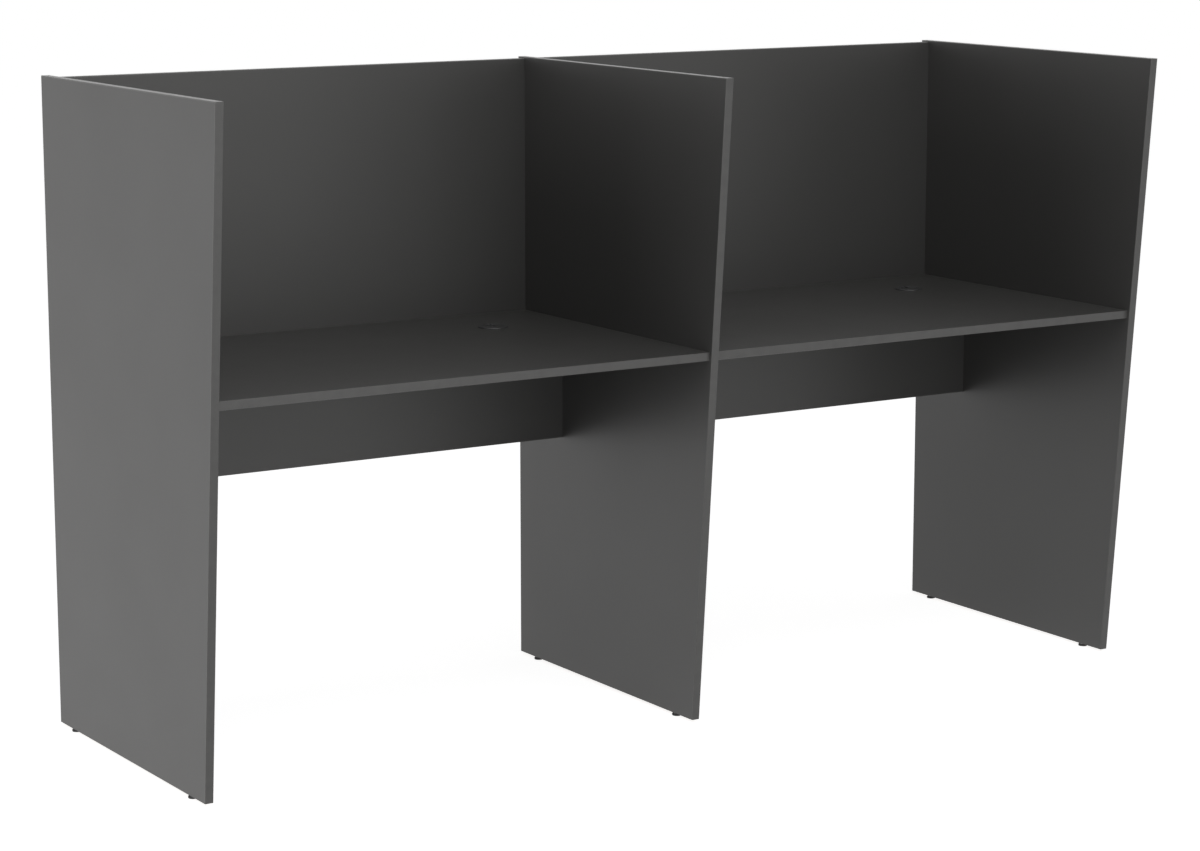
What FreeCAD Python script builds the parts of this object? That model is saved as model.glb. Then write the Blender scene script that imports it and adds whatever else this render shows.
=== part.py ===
import FreeCAD, Part
import math
import os

# Two-bay office workstation of laminated board. Three side panels with slanted front edges carry two
# worktops, two back panels and two modesty panels, and stand on six levelling feet.
# Millimetres, +Z up, rear towards +Y, origin on the floor under the middle of the footprint.

# Boards and edging
BOARD = 16.0
EDGING = 2.0
EDGING_ROUND = 1.0

# Side panels
BAY_WIDTH = 1000.0
SIDE_HEIGHT = 1220.0
SIDE_TOP_DEPTH = 732.0
SIDE_BOTTOM_DEPTH = 632.0

# Worktops, back panels and modesty panels
WORKTOP_HEIGHT = 713.0
WORKTOP_SETBACK = 8.0
BACK_INSET = 8.0
BACK_DROP = 3.0
BACK_SKIRT = 40.0
MODESTY_HEIGHT = 224.0
MODESTY_RECESS = 165.0

# Cam locks and their bolts
CAM_DIAMETER = 15.0
CAM_POCKET_FLOOR = 3.3
CAM_SETBACK = 34.0
CAM_WALL = 2.3
CAM_SOCKET_FLATS = 5.0
CAM_SOCKET_DEPTH = 2.6
CAM_CAP_DIAMETER = 17.0
BOLT_BORE = 8.0
BOLT_THREAD = 5.0
BOLT_PILOT_FLOOR = 4.5
BOLT_COLLAR = 7.0
BOLT_COLLAR_LENGTH = 3.0
BOLT_SHANK = 6.0
BOLT_NECK = 4.0
BOLT_NECK_LEAD = 1.5
BOLT_HEAD = 6.4
BOLT_HEAD_LENGTH = 3.0

# Dowels
DOWEL = 8.0
DOWEL_GRIP = 20.0
DOWEL_FLOOR = 5.0
DOWEL_CHAMFER = 1.0

# Places of the fasteners, measured from each board's own edges
WORKTOP_CAM_INSET = 80.0
BACK_CAM_INSET = 64.0
MODESTY_CAM_INSET = 48.0
CAM_TO_DOWEL = 32.0
MODESTY_DOWEL_INSET = 150.0
BACK_SCREW_INSET = 120.0

# Screws through the back panels
SCREW_HEAD = 10.0
SCREW_HEAD_DEPTH = 4.0
SCREW_SHANK = 7.0
SCREW_THREAD = 5.0
SCREW_THREAD_LENGTH = 34.0
SCREW_SOCKET_FLATS = 4.0
SCREW_SOCKET_DEPTH = 2.5
SCREW_CAP_DIAMETER = 13.0

# Cover caps of cams and screws
CAP_THICKNESS = 1.2
CAP_ROUND = 0.6
CAP_SPIGOT_LENGTH = 2.0

# Levelling feet
FOOT_CLEARANCE = 6.0
FOOT_REAR_INSET = 58.0
FOOT_FRONT_INSET = 65.0
PAD_DIAMETER = 18.0
PAD_HEIGHT = 4.0
PAD_CHAMFER = 0.8
PAD_SOLE = 1.2
RIVET_DIAMETER = 8.0
RIVET_HEIGHT = 1.2
RIVET_NECK = 5.0
COLLAR_FLATS = 10.0
STEM_DIAMETER = 6.0
STEM_LENGTH = 24.0
STEM_CHAMFER = 0.8
STEM_TIP_ROOM = 4.0
SLEEVE_DIAMETER = 10.0
SLEEVE_LENGTH = 20.0

# Cable grommets
GROMMET_HOLE = 50.0
GROMMET_FROM_REAR = 195.0
GROMMET_FROM_RIGHT = 177.0
GROMMET_WALL = 3.0
GROMMET_DEPTH = 14.0
FLANGE_DIAMETER = 60.0
FLANGE_HEIGHT = 2.5
FLANGE_ROUND = 1.5
LID_DIAMETER = 52.0
LID_THICKNESS = 1.5
LID_ROUND = 0.4
LID_SKIRT_WALL = 1.6
LID_SKIRT_DEPTH = 6.0
MOUTH_WIDTH = 16.0
MOUTH_FROM_CENTRE = 3.0

# Clearances: glued or driven fits, turning fits, room at the end of a blind hole
SEAT_CLEARANCE = 0.05
RUNNING_CLEARANCE = 0.06
END_ROOM = 0.5
GRIP_CLEARANCE = 0.3

V = FreeCAD.Vector
X = V(1, 0, 0)
Y = V(0, 1, 0)
Z = V(0, 0, 1)

# Planes worked out from the sizes above
REAR = SIDE_TOP_DEPTH / 2
PITCH = BAY_WIDTH + BOARD
SIDE_BOTTOM = FOOT_CLEARANCE
SIDE_TOP = SIDE_BOTTOM + SIDE_HEIGHT
WORKTOP_TOP = SIDE_BOTTOM + WORKTOP_HEIGHT
WORKTOP_UNDER = WORKTOP_TOP - BOARD
WORKTOP_MIDDLE = WORKTOP_TOP - BOARD / 2
BACK_REAR = REAR - BACK_INSET
BACK_FRONT = BACK_REAR - BOARD
BACK_MIDDLE = BACK_REAR - BOARD / 2
BACK_TOP = SIDE_TOP - BACK_DROP
BACK_BOTTOM = WORKTOP_UNDER - BACK_SKIRT
MODESTY_FRONT = REAR - MODESTY_RECESS
MODESTY_REAR = MODESTY_FRONT + BOARD
MODESTY_MIDDLE = MODESTY_FRONT + BOARD / 2
MODESTY_BOTTOM = WORKTOP_UNDER - MODESTY_HEIGHT
PANEL_CENTRES = {"left": -PITCH, "middle": 0.0, "right": PITCH}
BAY_STARTS = {"left": BOARD / 2 - PITCH, "right": BOARD / 2}

# Cam lock sizes worked out from the board and the bolt
CAM_POCKET_DEPTH = BOARD - CAM_POCKET_FLOOR
CAM_RADIUS = CAM_DIAMETER / 2 - SEAT_CLEARANCE
CHAMBER_RADIUS = CAM_RADIUS - CAM_WALL
CHAMBER_HEIGHT = BOLT_HEAD + 2 * GRIP_CLEARANCE
BOLT_PILOT_DEPTH = BOARD - BOLT_PILOT_FLOOR
BOLT_SHOULDER = CAM_SETBACK + SEAT_CLEARANCE - math.sqrt(CHAMBER_RADIUS ** 2 - (BOLT_HEAD / 2) ** 2)
DOWEL_PANEL_DEPTH = BOARD - DOWEL_FLOOR


def side_front(height):
    """Y of a side panel's slanted front edge at a height above the floor."""
    share = (height - SIDE_BOTTOM) / SIDE_HEIGHT
    return REAR - SIDE_BOTTOM_DEPTH - share * (SIDE_TOP_DEPTH - SIDE_BOTTOM_DEPTH)


WORKTOP_FRONT = side_front(WORKTOP_TOP) + WORKTOP_SETBACK
SLANT = math.atan2(SIDE_TOP_DEPTH - SIDE_BOTTOM_DEPTH, SIDE_HEIGHT)
FRONT_EDGING_RUN = EDGING / math.cos(SLANT)
FOOT_PLACES = {"rear": REAR - FOOT_REAR_INSET, "front": side_front(SIDE_BOTTOM) + FOOT_FRONT_INSET}


# Building blocks

def box(low, high):
    """Box between two opposite corners."""
    size = high - low
    return Part.makeBox(size.x, size.y, size.z, low)


def rod(start, axis, diameter, length):
    """Round bar or bore from a point along an axis."""
    return Part.makeCylinder(diameter / 2, length, start, axis)


def hexagon_bar(start, axis, flats, length):
    """Six-sided bar from a point along an axis, by its width across flats."""
    corner = flats / math.sqrt(3)
    points = []
    for step in range(7):
        angle = math.radians(60 * step)
        points.append(V(corner * math.cos(angle), corner * math.sin(angle), 0))
    bar = Part.Face(Part.makePolygon(points)).extrude(Z * length)
    bar.Placement = FreeCAD.Placement(start, FreeCAD.Rotation(Z, axis))
    return bar


def lathe(profile, axis):
    """Solid turned about an axis through the origin from a closed outline of (along, radius) pairs."""
    across = Z if axis == X else X
    points = [axis * along + across * radius for along, radius in profile]
    outline = Part.makePolygon(points + points[:1])
    return Part.Face(outline).revolve(V(0, 0, 0), axis, 360)


def panel_slice(outline, centre):
    """Board cut to an outline of (depth, height) pairs, one board thick about an X centre."""
    points = [V(centre - BOARD / 2, depth, height) for depth, height in outline]
    return Part.Face(Part.makePolygon(points + points[:1])).extrude(X * BOARD)


def rounded(solid, radius, wanted):
    """Solid with the edges that a test on their two end points picks rounded over."""
    edges = [edge for edge in solid.Edges if wanted(edge.Vertexes[0].Point, edge.Vertexes[-1].Point)]
    return solid.makeFillet(radius, edges)


def place(shape, point, inward, face):
    """Copy of a shape modelled with X into a board from its end and Z towards its open face."""
    turned = shape.copy()
    frame = FreeCAD.Placement(point, FreeCAD.Rotation(inward, face.cross(inward), face, "ZXY"))
    turned.Placement = frame.multiply(shape.Placement)
    return turned


def export(name, solids):
    """Write one node's solid, or group of separate solids, to its own file."""
    shape = solids[0] if len(solids) == 1 else Part.makeCompound(solids)
    shape.exportStep("parts/" + name + ".step")


# Places of the joints on the side panels, as depth and height, with the face that the cam opens to

def pair(low, high, inset):
    """Two places, each one inset in from the ends of a span."""
    return [low + inset, high - inset]


WORKTOP_SPAN = (WORKTOP_FRONT, BACK_FRONT)
BACK_SPAN = (BACK_BOTTOM, BACK_TOP)
MODESTY_SPAN = (MODESTY_BOTTOM, WORKTOP_UNDER)


def worktop_seats(inset):
    """Fastener places on a worktop's end."""
    return [(depth, WORKTOP_MIDDLE) for depth in pair(*WORKTOP_SPAN, inset)]


def back_seats(inset):
    """Fastener places on a back panel's end."""
    return [(BACK_MIDDLE, height) for height in pair(*BACK_SPAN, inset)]


def modesty_seats(inset):
    """Fastener places on a modesty panel's end."""
    return [(MODESTY_MIDDLE, height) for height in pair(*MODESTY_SPAN, inset)]


CAM_SEATS = {
    "worktop": worktop_seats(WORKTOP_CAM_INSET),
    "back": back_seats(BACK_CAM_INSET),
    "modesty": modesty_seats(MODESTY_CAM_INSET),
}
DOWEL_SEATS = {
    "worktop": worktop_seats(WORKTOP_CAM_INSET + CAM_TO_DOWEL),
    "back": back_seats(BACK_CAM_INSET + CAM_TO_DOWEL),
    "modesty": modesty_seats(MODESTY_CAM_INSET + CAM_TO_DOWEL),
}
CAM_FACES = {"worktop": -Z, "back": Y, "modesty": Y}


def board_ends(bay):
    """The two ends of a bay's boards, each as its X and the direction into the bay."""
    start = BAY_STARTS[bay]
    return [(start, X), (start + BAY_WIDTH, -X)]


def modesty_dowel_places(bay):
    """X of the dowels between a bay's modesty panel and its worktop."""
    start = BAY_STARTS[bay]
    return pair(start, start + BAY_WIDTH, MODESTY_DOWEL_INSET) + [start + BAY_WIDTH / 2]


def screw_places(bay):
    """X of the screws through a bay's back panel."""
    start = BAY_STARTS[bay]
    return pair(start, start + BAY_WIDTH, BACK_SCREW_INSET) + [start + BAY_WIDTH / 2]


# Cam locks, modelled with X into the board from its end and Z towards the open face

def cam_lock():
    """Cam in its locked turn: chamber for the bolt's head, neck slot, entry hole and hexagon socket."""
    depth = CAM_POCKET_DEPTH - END_ROOM / 2
    centre = X * CAM_SETBACK
    body = rod(centre + Z * (BOARD / 2 - depth), Z, 2 * CAM_RADIUS, depth)
    chamber = rod(centre - Z * CHAMBER_HEIGHT / 2, Z, 2 * CHAMBER_RADIUS, CHAMBER_HEIGHT)
    slot = BOLT_NECK / 2 + GRIP_CLEARANCE
    neck_slot = box(centre - V(CAM_DIAMETER, slot, slot), centre + V(0, slot, slot))
    entry = rod(centre, X, BOLT_HEAD + 2 * GRIP_CLEARANCE, CAM_DIAMETER)
    socket = hexagon_bar(centre + Z * BOARD / 2, -Z, CAM_SOCKET_FLATS, CAM_SOCKET_DEPTH)
    return body.cut([chamber, neck_slot, entry, socket])


def cam_pocket():
    """What a cam lock and its bolt need cut out of a board's end."""
    pocket = rod(X * CAM_SETBACK + Z * BOARD / 2, -Z, CAM_DIAMETER, CAM_POCKET_DEPTH)
    return pocket.fuse(rod(V(0, 0, 0), X, BOLT_BORE, CAM_SETBACK))


def cover_cap(diameter, socket_flats):
    """Cover cap seated on the plane Z = 0, with a spigot down into a socket."""
    spigot = socket_flats / 2 - SEAT_CLEARANCE
    profile = [(-CAP_SPIGOT_LENGTH, 0), (-CAP_SPIGOT_LENGTH, spigot), (0, spigot), (0, diameter / 2)]
    profile += [(CAP_THICKNESS - CAP_ROUND, diameter / 2), (CAP_THICKNESS, diameter / 2 - CAP_ROUND)]
    profile += [(CAP_THICKNESS, 0)]
    return lathe(profile, Z)


def bolt_arm():
    """Outline of a cam bolt from the panel's face to the end of its head."""
    neck_start = CAM_SETBACK - CAM_DIAMETER / 2 - BOLT_NECK_LEAD
    return [
        (0, BOLT_COLLAR / 2),
        (BOLT_COLLAR_LENGTH, BOLT_COLLAR / 2),
        (BOLT_COLLAR_LENGTH, BOLT_SHANK / 2),
        (neck_start, BOLT_SHANK / 2),
        (neck_start, BOLT_NECK / 2),
        (BOLT_SHOULDER, BOLT_NECK / 2),
        (BOLT_SHOULDER, BOLT_HEAD / 2),
        (BOLT_SHOULDER + BOLT_HEAD_LENGTH, BOLT_HEAD / 2),
        (BOLT_SHOULDER + BOLT_HEAD_LENGTH, 0),
    ]


def single_bolt():
    """Cam bolt screwed into an outer panel."""
    tip = END_ROOM - BOLT_PILOT_DEPTH
    thread = BOLT_THREAD / 2 - SEAT_CLEARANCE
    return lathe([(tip, 0), (tip, thread), (0, thread)] + bolt_arm(), X)


def double_bolt():
    """Double-ended cam bolt through the middle panel, about the panel's middle."""
    waist = BOLT_BORE / 2 - SEAT_CLEARANCE
    arm = [(BOARD / 2, waist)] + [(along + BOARD / 2, radius) for along, radius in bolt_arm()]
    other = [(-along, radius) for along, radius in reversed(arm)]
    return lathe(other + arm, X)


def dowel(start, end):
    """Chamfered dowel along X between two places."""
    radius = DOWEL / 2 - SEAT_CLEARANCE
    profile = [(start, 0), (start, radius - DOWEL_CHAMFER), (start + DOWEL_CHAMFER, radius)]
    profile += [(end - DOWEL_CHAMFER, radius), (end, radius - DOWEL_CHAMFER), (end, 0)]
    return lathe(profile, X)


def short_dowel():
    """Dowel of an outer panel or a worktop's underside, with X = 0 at the joint's face."""
    return dowel(END_ROOM - DOWEL_PANEL_DEPTH, DOWEL_GRIP)


def long_dowel():
    """Dowel through the middle panel, about the panel's middle."""
    return dowel(-BOARD / 2 - DOWEL_GRIP, BOARD / 2 + DOWEL_GRIP)


def screw():
    """Screw through a back panel, modelled with Z = 0 at the panel's rear face and Z outwards."""
    head = SCREW_HEAD / 2 - SEAT_CLEARANCE
    shank = SCREW_SHANK / 2 - SEAT_CLEARANCE
    thread = SCREW_THREAD / 2 - SEAT_CLEARANCE
    end = -BOARD - SCREW_THREAD_LENGTH
    profile = [(0, 0), (0, head), (-SCREW_HEAD_DEPTH, head), (-SCREW_HEAD_DEPTH, shank), (-BOARD, shank)]
    profile += [(-BOARD, thread), (end, thread), (end, 0)]
    socket = hexagon_bar(V(0, 0, 0), -Z, SCREW_SOCKET_FLATS, SCREW_SOCKET_DEPTH)
    return lathe(profile, Z).cut(socket)


# Side panels with their edging

def side_panel(name):
    """Board of a side panel, drilled for its feet and for the boards on its inner faces."""
    centre = PANEL_CENTRES[name]
    top = SIDE_TOP - EDGING
    outline = [(REAR - EDGING, SIDE_BOTTOM), (REAR - EDGING, top)]
    outline += [(side_front(top) + FRONT_EDGING_RUN, top)]
    outline += [(side_front(SIDE_BOTTOM) + FRONT_EDGING_RUN, SIDE_BOTTOM)]
    holes = []
    for depth in FOOT_PLACES.values():
        foot = V(centre, depth, SIDE_BOTTOM)
        holes.append(rod(foot, Z, SLEEVE_DIAMETER, SLEEVE_LENGTH))
        holes.append(rod(foot, Z, STEM_DIAMETER + 2 * GRIP_CLEARANCE, STEM_LENGTH + STEM_TIP_ROOM))
    for seats, diameter, depth_in in [
        (CAM_SEATS, BOLT_THREAD, BOLT_PILOT_DEPTH),
        (DOWEL_SEATS, DOWEL, DOWEL_PANEL_DEPTH),
    ]:
        for depth, height in sum(seats.values(), []):
            if name == "middle":
                through = BOLT_BORE if seats is CAM_SEATS else DOWEL
                holes.append(rod(V(centre - BOARD / 2, depth, height), X, through, BOARD))
            else:
                inner = X if name == "left" else -X
                start = V(centre, depth, height) + inner * (BOARD / 2)
                holes.append(rod(start, -inner, diameter, depth_in))
    return panel_slice(outline, centre).cut(holes)


def on_front_edge(start, end):
    """Whether an edge runs up a side panel's slanted front."""
    on_line = [abs(point.y - side_front(point.z)) < EDGING / 2 for point in (start, end)]
    return all(on_line) and abs(start.x - end.x) < EDGING


def side_front_edging(centre):
    """Edging up the slanted front edge, under the top strip."""
    top = SIDE_TOP - EDGING
    outline = []
    for height, run in [(SIDE_BOTTOM, 0), (SIDE_BOTTOM, 1), (top, 1), (top, 0)]:
        outline.append((side_front(height) + run * FRONT_EDGING_RUN, height))
    return rounded(panel_slice(outline, centre), EDGING_ROUND, on_front_edge)


def side_rear_edging(centre):
    """Edging up the vertical rear edge, under the top strip."""
    top = SIDE_TOP - EDGING
    outline = [(REAR - EDGING, SIDE_BOTTOM), (REAR, SIDE_BOTTOM), (REAR, top), (REAR - EDGING, top)]

    def outside(start, end):
        on_rear = min(start.y, end.y) > REAR - EDGING / 2
        return on_rear and abs(start.x - end.x) < EDGING

    return rounded(panel_slice(outline, centre), EDGING_ROUND, outside)


def side_top_edging(centre):
    """Edging along the top edge, over the ends of the front and rear strips."""
    low = SIDE_TOP - EDGING
    outline = [(side_front(low), low), (REAR, low), (REAR, SIDE_TOP), (side_front(SIDE_TOP), SIDE_TOP)]

    def outside(start, end):
        return max(start.z, end.z) > SIDE_TOP - EDGING / 2

    return rounded(panel_slice(outline, centre), EDGING_ROUND, outside)


# Boards between the side panels, with their edging

def drill_ends(board, bay, kind):
    """Board with its cam pockets, bolt bores and dowel holes cut in at both ends."""
    cuts = []
    for end, inward in board_ends(bay):
        for depth, height in CAM_SEATS[kind]:
            cuts.append(place(cam_pocket(), V(end, depth, height), inward, CAM_FACES[kind]))
        for depth, height in DOWEL_SEATS[kind]:
            cuts.append(rod(V(end, depth, height), inward, DOWEL, DOWEL_GRIP + END_ROOM))
    return board.cut(cuts)


def grommet_centre(bay):
    """Centre of a bay's grommet on the worktop's upper face."""
    right = BAY_STARTS[bay] + BAY_WIDTH
    return V(right - GROMMET_FROM_RIGHT, REAR - GROMMET_FROM_REAR, WORKTOP_TOP)


def worktop(bay):
    """Worktop with its grommet hole, modesty dowel holes and screw pilots."""
    start = BAY_STARTS[bay]
    low = V(start, WORKTOP_FRONT + EDGING, WORKTOP_UNDER)
    board = box(low, V(start + BAY_WIDTH, BACK_FRONT, WORKTOP_TOP))
    cuts = [rod(grommet_centre(bay), -Z, GROMMET_HOLE, BOARD)]
    for place_x in modesty_dowel_places(bay):
        cuts.append(rod(V(place_x, MODESTY_MIDDLE, WORKTOP_UNDER), Z, DOWEL, DOWEL_PANEL_DEPTH))
    for place_x in screw_places(bay):
        pilot = V(place_x, BACK_FRONT, WORKTOP_MIDDLE)
        cuts.append(rod(pilot, -Y, SCREW_THREAD, SCREW_THREAD_LENGTH + END_ROOM))
    return drill_ends(board.cut(cuts), bay, "worktop")


def back_panel(bay):
    """Back panel behind a worktop, with its screw holes."""
    start = BAY_STARTS[bay]
    board = box(V(start, BACK_FRONT, BACK_BOTTOM), V(start + BAY_WIDTH, BACK_REAR, BACK_TOP - EDGING))
    cuts = []
    for place_x in screw_places(bay):
        mouth = V(place_x, BACK_REAR, WORKTOP_MIDDLE)
        cuts.append(rod(mouth, -Y, SCREW_SHANK, BOARD))
        cuts.append(rod(mouth, -Y, SCREW_HEAD, SCREW_HEAD_DEPTH))
    return drill_ends(board.cut(cuts), bay, "back")


def modesty_panel(bay):
    """Modesty panel under a worktop, with its upper dowel holes."""
    start = BAY_STARTS[bay]
    low = V(start, MODESTY_FRONT, MODESTY_BOTTOM + EDGING)
    board = box(low, V(start + BAY_WIDTH, MODESTY_REAR, WORKTOP_UNDER))
    cuts = []
    for place_x in modesty_dowel_places(bay):
        mouth = V(place_x, MODESTY_MIDDLE, WORKTOP_UNDER)
        cuts.append(rod(mouth, -Z, DOWEL, DOWEL_GRIP + END_ROOM))
    return drill_ends(board.cut(cuts), bay, "modesty")


def bay_edging(bay, low, high, outward):
    """Edging strip along a bay between two (depth, height) corners, rounded on its outward side."""
    start = BAY_STARTS[bay]
    strip = box(V(start, *low), V(start + BAY_WIDTH, *high))
    middle = strip.BoundBox.Center

    def outside(first, last):
        ahead = min((first - middle).dot(outward), (last - middle).dot(outward))
        return ahead > 0 and abs(first.x - last.x) > EDGING

    return rounded(strip, EDGING_ROUND, outside)


def worktop_edging(bay):
    """Edging along a worktop's front edge."""
    low = (WORKTOP_FRONT, WORKTOP_UNDER)
    return bay_edging(bay, low, (WORKTOP_FRONT + EDGING, WORKTOP_TOP), -Y)


def back_edging(bay):
    """Edging along a back panel's top edge."""
    return bay_edging(bay, (BACK_FRONT, BACK_TOP - EDGING), (BACK_REAR, BACK_TOP), Z)


def modesty_edging(bay):
    """Edging along a modesty panel's bottom edge."""
    low = (MODESTY_FRONT, MODESTY_BOTTOM)
    return bay_edging(bay, low, (MODESTY_REAR, MODESTY_BOTTOM + EDGING), -Z)


# Cable grommets, modelled about the Z axis with Z = 0 on the worktop's upper face

def grommet_ring():
    """Ring with a sleeve in the worktop, a rounded flange on it and a seat for the lid."""
    outer = GROMMET_HOLE / 2 - SEAT_CLEARANCE
    inner = outer - GROMMET_WALL
    seat = LID_DIAMETER / 2 + RUNNING_CLEARANCE
    ledge = FLANGE_HEIGHT - LID_THICKNESS
    profile = [(-GROMMET_DEPTH, inner), (-GROMMET_DEPTH, outer), (0, outer), (0, FLANGE_DIAMETER / 2)]
    profile += [(FLANGE_HEIGHT, FLANGE_DIAMETER / 2), (FLANGE_HEIGHT, seat), (ledge, seat), (ledge, inner)]

    def outside(start, end):
        reach = min(math.hypot(point.x, point.y) for point in (start, end))
        return reach > FLANGE_DIAMETER / 2 - SEAT_CLEARANCE and min(start.z, end.z) > FLANGE_HEIGHT / 2

    return rounded(lathe(profile, Z), FLANGE_ROUND, outside)


def grommet_lid():
    """Lid flush with the flange, with a skirt that turns in the ring and a cable mouth to the rear."""
    skirt = GROMMET_HOLE / 2 - SEAT_CLEARANCE - GROMMET_WALL - RUNNING_CLEARANCE
    ledge = FLANGE_HEIGHT - LID_THICKNESS
    bottom = ledge - LID_SKIRT_DEPTH
    rim = LID_DIAMETER / 2
    profile = [(ledge, 0), (ledge, skirt - LID_SKIRT_WALL), (bottom, skirt - LID_SKIRT_WALL)]
    profile += [(bottom, skirt), (ledge, skirt), (ledge, rim), (FLANGE_HEIGHT - LID_ROUND, rim)]
    profile += [(FLANGE_HEIGHT, rim - LID_ROUND), (FLANGE_HEIGHT, 0)]
    mouth_centre = V(0, MOUTH_FROM_CENTRE + MOUTH_WIDTH / 2, bottom)
    height = FLANGE_HEIGHT - bottom
    round_end = rod(mouth_centre, Z, MOUTH_WIDTH, height)
    throat = box(mouth_centre - X * (MOUTH_WIDTH / 2), V(MOUTH_WIDTH / 2, LID_DIAMETER, FLANGE_HEIGHT))
    return lathe(profile, Z).cut([round_end, throat])


# Levelling feet, modelled about the Z axis with Z = 0 on the floor

def foot_pad():
    """Pad with a closed socket for the stem's rivet head."""
    radius = PAD_DIAMETER / 2
    hole = RIVET_NECK / 2 + RUNNING_CLEARANCE
    socket = RIVET_DIAMETER / 2 + RUNNING_CLEARANCE
    socket_top = PAD_SOLE + RIVET_HEIGHT + 2 * RUNNING_CLEARANCE
    profile = [(0, 0), (0, radius - PAD_CHAMFER), (PAD_CHAMFER, radius), (PAD_HEIGHT - PAD_CHAMFER, radius)]
    profile += [(PAD_HEIGHT, radius - PAD_CHAMFER), (PAD_HEIGHT, hole), (socket_top, hole)]
    profile += [(socket_top, socket), (PAD_SOLE, socket), (PAD_SOLE, 0)]
    return lathe(profile, Z)


def foot_stem():
    """Threaded stem with a rivet head in the pad and a hexagon collar on it."""
    rivet = PAD_SOLE + RUNNING_CLEARANCE
    shank = STEM_DIAMETER / 2
    top = FOOT_CLEARANCE + STEM_LENGTH
    profile = [(rivet, 0), (rivet, RIVET_DIAMETER / 2), (rivet + RIVET_HEIGHT, RIVET_DIAMETER / 2)]
    profile += [(rivet + RIVET_HEIGHT, RIVET_NECK / 2), (PAD_HEIGHT, RIVET_NECK / 2), (PAD_HEIGHT, shank)]
    profile += [(top - STEM_CHAMFER, shank), (top, shank - STEM_CHAMFER), (top, 0)]
    collar = hexagon_bar(V(0, 0, PAD_HEIGHT), Z, COLLAR_FLATS, FOOT_CLEARANCE - PAD_HEIGHT)
    return lathe(profile, Z).fuse(collar).removeSplitter()


def foot_sleeve():
    """Threaded sleeve in a side panel's bottom edge."""
    start = V(0, 0, SIDE_BOTTOM)
    sleeve = rod(start, Z, SLEEVE_DIAMETER - 2 * SEAT_CLEARANCE, SLEEVE_LENGTH)
    return sleeve.cut(rod(start, Z, STEM_DIAMETER + 2 * RUNNING_CLEARANCE, SLEEVE_LENGTH))


def moved(shape, offset):
    """Copy of a shape moved by an offset."""
    copy = shape.copy()
    copy.translate(offset)
    return copy


def fasten_boards():
    """Write the cam locks, bolts, dowels and screws that hold the boards, each kind as one group."""
    cam = cam_lock()
    cam_cap = moved(cover_cap(CAM_CAP_DIAMETER, CAM_SOCKET_FLATS), V(CAM_SETBACK, 0, BOARD / 2))
    kinds = {name: [] for name in ("cams", "cam_caps", "bolts", "dowels", "screws", "screw_caps")}
    for bay in BAY_STARTS:
        for end, inward in board_ends(bay):
            outer = abs(end) > BOARD
            for kind, face in CAM_FACES.items():
                for seat in CAM_SEATS[kind]:
                    point = V(end, *seat)
                    kinds["cams"].append(place(cam, point, inward, face))
                    kinds["cam_caps"].append(place(cam_cap, point, inward, face))
                    if outer:
                        kinds["bolts"].append(place(single_bolt(), point, inward, face))
                if outer:
                    for seat in DOWEL_SEATS[kind]:
                        kinds["dowels"].append(place(short_dowel(), V(end, *seat), inward, face))
        for place_x in modesty_dowel_places(bay):
            point = V(place_x, MODESTY_MIDDLE, WORKTOP_UNDER)
            kinds["dowels"].append(place(short_dowel(), point, -Z, Y))
        for place_x in screw_places(bay):
            point = V(place_x, BACK_REAR, WORKTOP_MIDDLE)
            kinds["screws"].append(place(screw(), point, X, Y))
            screw_cap = cover_cap(SCREW_CAP_DIAMETER, SCREW_SOCKET_FLATS)
            kinds["screw_caps"].append(place(screw_cap, point, X, Y))
    export("cam_locks", kinds["cams"])
    export("cam_covers", kinds["cam_caps"])
    export("cam_bolts", kinds["bolts"])
    export("short_dowels", kinds["dowels"])
    export("back_screws", kinds["screws"])
    export("screw_covers", kinds["screw_caps"])
    for name, solid, seats in [
        ("double_cam_bolts", double_bolt(), CAM_SEATS),
        ("long_dowels", long_dowel(), DOWEL_SEATS),
    ]:
        export(name, [place(solid, V(0, *seat), X, Z) for seat in sum(seats.values(), [])])


def main():
    """Build every piece and write it to its own file."""
    os.makedirs("parts", exist_ok=True)
    sleeves = []
    for name, centre in PANEL_CENTRES.items():
        export(name + "_side_panel", [side_panel(name)])
        export(name + "_side_front_edging", [side_front_edging(centre)])
        export(name + "_side_top_edging", [side_top_edging(centre)])
        export(name + "_side_rear_edging", [side_rear_edging(centre)])
        for end, depth in FOOT_PLACES.items():
            foot = V(centre, depth, 0)
            export(name + "_" + end + "_foot_pad", [moved(foot_pad(), foot)])
            export(name + "_" + end + "_foot_stem", [moved(foot_stem(), foot)])
            sleeves.append(moved(foot_sleeve(), foot))
    export("foot_sleeves", sleeves)
    for bay in BAY_STARTS:
        export(bay + "_worktop", [worktop(bay)])
        export(bay + "_worktop_edging", [worktop_edging(bay)])
        export(bay + "_back_panel", [back_panel(bay)])
        export(bay + "_back_edging", [back_edging(bay)])
        export(bay + "_modesty_panel", [modesty_panel(bay)])
        export(bay + "_modesty_edging", [modesty_edging(bay)])
        export(bay + "_grommet_ring", [moved(grommet_ring(), grommet_centre(bay))])
        export(bay + "_grommet_lid", [moved(grommet_lid(), grommet_centre(bay))])
    fasten_boards()


main()
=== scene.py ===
import logging
import math
from dataclasses import dataclass
from enum import Enum
from typing import Callable, Iterator

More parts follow.
